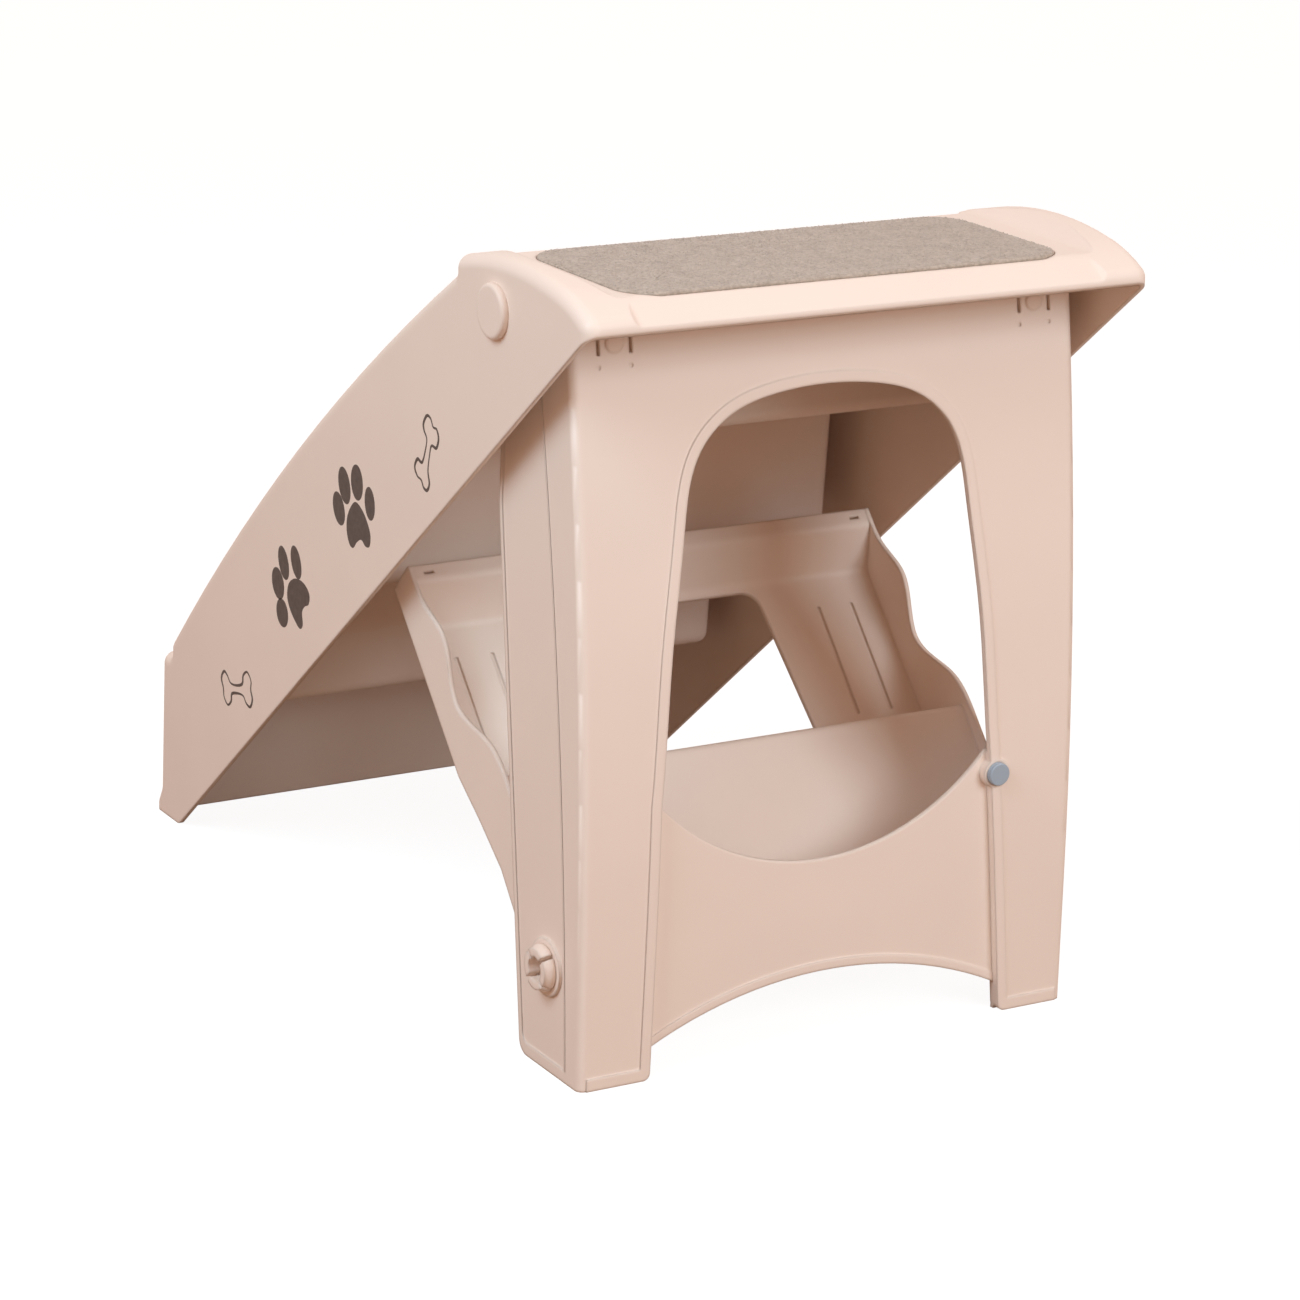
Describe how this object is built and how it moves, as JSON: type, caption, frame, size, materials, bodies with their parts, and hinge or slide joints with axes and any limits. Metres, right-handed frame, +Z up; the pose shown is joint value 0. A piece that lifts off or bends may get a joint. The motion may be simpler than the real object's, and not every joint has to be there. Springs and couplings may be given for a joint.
{
  "type": "folding pet stairs",
  "caption": "Moulded folding pet stairs with carpeted treads, side guards, and an arched rear leg held by a hinged brace panel.",
  "frame": {"origin": "on the floor, midway along the length and across the width", "axes": "+Y to the rear (the leg), +Z up, X across the stairs"},
  "size_m": [0.4012, 0.625, 0.5],
  "materials": {
    "shell_plastic": "fine satin moulded surface",
    "carpet": "short taupe pile",
    "button_plastic": "satin"
  },
  "bodies": {
    "stairs": {"stair_shell": "shell_plastic", "tread_mat_1": "carpet", "tread_mat_2": "carpet", "tread_mat_3": "carpet", "tread_mat_4": "carpet", "hinge_pin_left": "shell_plastic", "hinge_pin_right": "shell_plastic"},
    "leg": {"rear_leg": "shell_plastic"},
    "brace": {"brace_panel": "shell_plastic", "brace_stud_left": "shell_plastic", "brace_stud_right": "shell_plastic"},
    "button": {"lock_button": "button_plastic"}
  },
  "joints": [
    {"name": "leg_fold", "type": "hinge", "parent": "stairs", "child": "leg", "pos_m": [0, 0.202, 0.467], "axis": [-1, 0, 0], "range_deg": [0, 35]},
    {"name": "brace_fold", "type": "hinge", "parent": "leg", "child": "brace", "pos_m": [0, 0.244, 0.067], "axis": [-1, 0, 0], "range_deg": [0, 48.3]},
    {"name": "button_press", "type": "slide", "parent": "leg", "child": "button", "axis": [0, -1, 0], "range_m": [0, 0.003], "stiffness_N_per_m": 500, "springref_m": -0.001}
  ],
  "couplings": [
    {"joint": "brace_fold", "follows": "leg_fold", "ratio": 1.3714}
  ]
}
